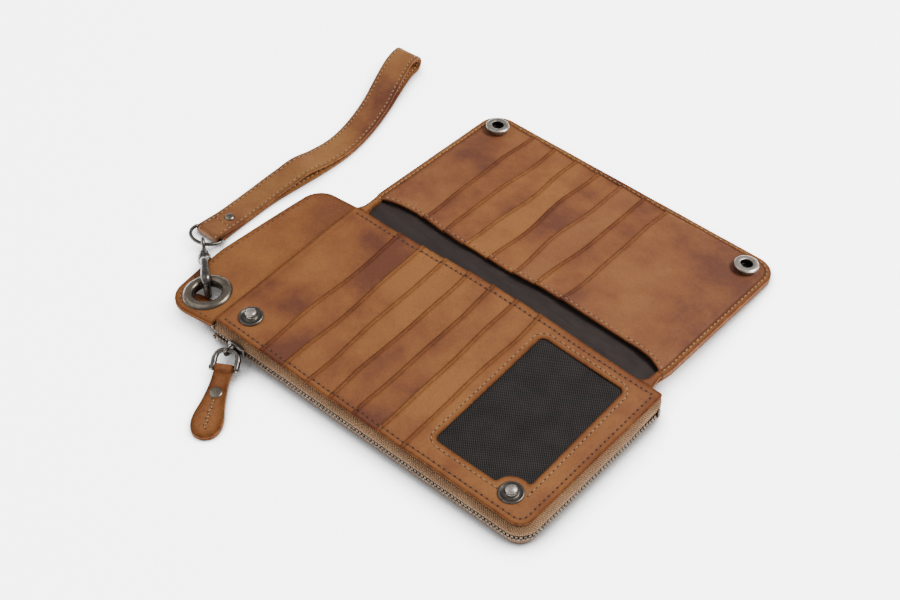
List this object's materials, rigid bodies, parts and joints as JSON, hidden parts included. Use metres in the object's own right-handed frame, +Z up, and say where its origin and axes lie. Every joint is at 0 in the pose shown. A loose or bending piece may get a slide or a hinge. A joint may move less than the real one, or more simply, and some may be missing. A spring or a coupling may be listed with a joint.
{
  "type": "long wallet",
  "caption": "Long leather wallet lying open: stepped card pockets on body and flap, mesh identity window, snap fasteners, zip round two sides, eyelet wing and wrist strap on a swivel clasp.",
  "frame": {"origin": "centre of the body's base, on the surface the open wallet lies on", "axes": "+X along the wallet's length from the eyelet wing towards the rounded zip corner, +Y from the zipped front edge across the fold to the open flap, +Z up out of the pocket side"},
  "size_m": [0.2715, 0.2725, 0.0192],
  "materials": {
    "leather_main": "pull-up, satin",
    "leather_front": "pull-up, satin",
    "leather_pocket": "pull-up, satin",
    "leather_strap": "pull-up, satin",
    "lining": "woven, matt",
    "mesh": "fine net",
    "tape": "twill tape",
    "antique": "antique, worn",
    "antique_zip": "dark antique",
    "gunmetal": "dark, polished edges",
    "spring_steel": "plain"
  },
  "bodies": {
    "body": {"back_cover": "leather_main", "back_lining": "lining", "eyelet_ring": "antique", "eyelet_washer": "antique", "front_base_panel": "leather_front", "front_card_pocket_1": "leather_pocket", "front_card_pocket_2": "leather_pocket", "front_card_pocket_3": "leather_pocket", "front_card_pocket_4": "leather_pocket", "front_card_pocket_5": "leather_pocket", "front_card_pocket_6": "leather_pocket", "front_id_panel": "leather_front", "front_lining": "lining", "front_plain_panel": "leather_front", "id_backing": "leather_front", "id_window_mesh": "mesh", "left_gusset": "leather_main", "snap_stud_left": "antique", "snap_stud_right": "antique", "spine_leather": "leather_main", "spine_lining": "lining", "stud_rivets": "antique", "wing_lower_ply": "leather_main", "wing_upper_ply": "leather_main", "zip_end_tongue": "leather_main", "zip_stops": "antique_zip", "zip_tape_lower": "tape", "zip_tape_upper": "tape", "zip_teeth_lower": "antique_zip", "zip_teeth_upper": "antique_zip"},
    "flap": {"flap_card_pocket_1": "leather_pocket", "flap_card_pocket_2": "leather_pocket", "flap_card_pocket_3": "leather_pocket", "flap_card_pocket_4": "leather_pocket", "flap_card_pocket_5": "leather_pocket", "flap_card_pocket_6": "leather_pocket", "flap_edge_binding": "leather_main", "flap_lining": "lining", "flap_mouth_binding": "leather_main", "flap_outer_leather": "leather_main", "flap_plain_panel_left": "leather_front", "flap_plain_panel_right": "leather_front", "flap_pocket_base": "leather_front", "snap_caps": "antique", "snap_socket_left": "antique", "snap_socket_right": "antique"},
    "zip_slider": {"zip_slider": "gunmetal"},
    "pull_shackle": {"pull_pin": "gunmetal", "pull_shackle": "gunmetal"},
    "zip_pull": {"pull_leather": "leather_strap", "pull_rivet": "antique"},
    "clasp": {"clasp_hook": "gunmetal", "clasp_gate_pin": "gunmetal", "clasp_gate_spring": "spring_steel"},
    "clasp_gate": {"clasp_gate": "gunmetal"},
    "clasp_swivel": {"clasp_swivel": "gunmetal"},
    "strap_ring": {"strap_ring": "gunmetal"},
    "strap": {"strap_leather": "leather_strap", "strap_rivet": "antique"}
  },
  "joints": [
    {"name": "flap_hinge", "type": "hinge", "parent": "body", "child": "flap", "pos_m": [0, 0.05785, 0.0172], "axis": [1, 0, 0], "range_deg": [0, 185.6]},
    {"name": "zip_slide", "type": "slide", "parent": "body", "child": "zip_slider", "axis": [1, 0, 0], "range_m": [0, 0.16]},
    {"name": "shackle_hinge", "type": "hinge", "parent": "zip_slider", "child": "pull_shackle", "pos_m": [-0.0821, -0.05755, 0.00825], "axis": [-0.866, -0.5, 0], "range_deg": [0, 45]},
    {"name": "pull_hinge", "type": "hinge", "parent": "pull_shackle", "child": "zip_pull", "pos_m": [-0.07768, -0.0652, 0.00504], "axis": [-0.866, -0.5, 0], "range_deg": [0, 80]},
    {"name": "clasp_swing", "type": "hinge", "parent": "body", "child": "clasp", "pos_m": [-0.1158, -0.0385, 0.01033], "axis": [0, 0, 1], "range_deg": [0, 45]},
    {"name": "gate_hinge", "type": "hinge", "parent": "clasp", "child": "clasp_gate", "pos_m": [-0.1333, -0.02366, 0.0018], "axis": [-0.6468, -0.7627, 0], "range_deg": [0, 8], "stiffness_Nm_per_rad": 0.02, "springref_deg": -17.19},
    {"name": "swivel_spin", "type": "hinge", "parent": "clasp", "child": "clasp_swivel", "pos_m": [-0.12335, -0.0321, 0.00733], "axis": [-0.7608, 0.6452, -0.0698], "continuous": true},
    {"name": "ring_hinge", "type": "hinge", "parent": "clasp_swivel", "child": "strap_ring", "pos_m": [-0.14581, -0.01277, 0.00504], "axis": [0.8539, 0.5049, -0.1259], "range_deg": [-10, 45]},
    {"name": "strap_hinge", "type": "hinge", "parent": "strap_ring", "child": "strap", "pos_m": [-0.1506, -0.0036, 0.00275], "axis": [1, 0, 0], "range_deg": [0, 100]}
  ]
}
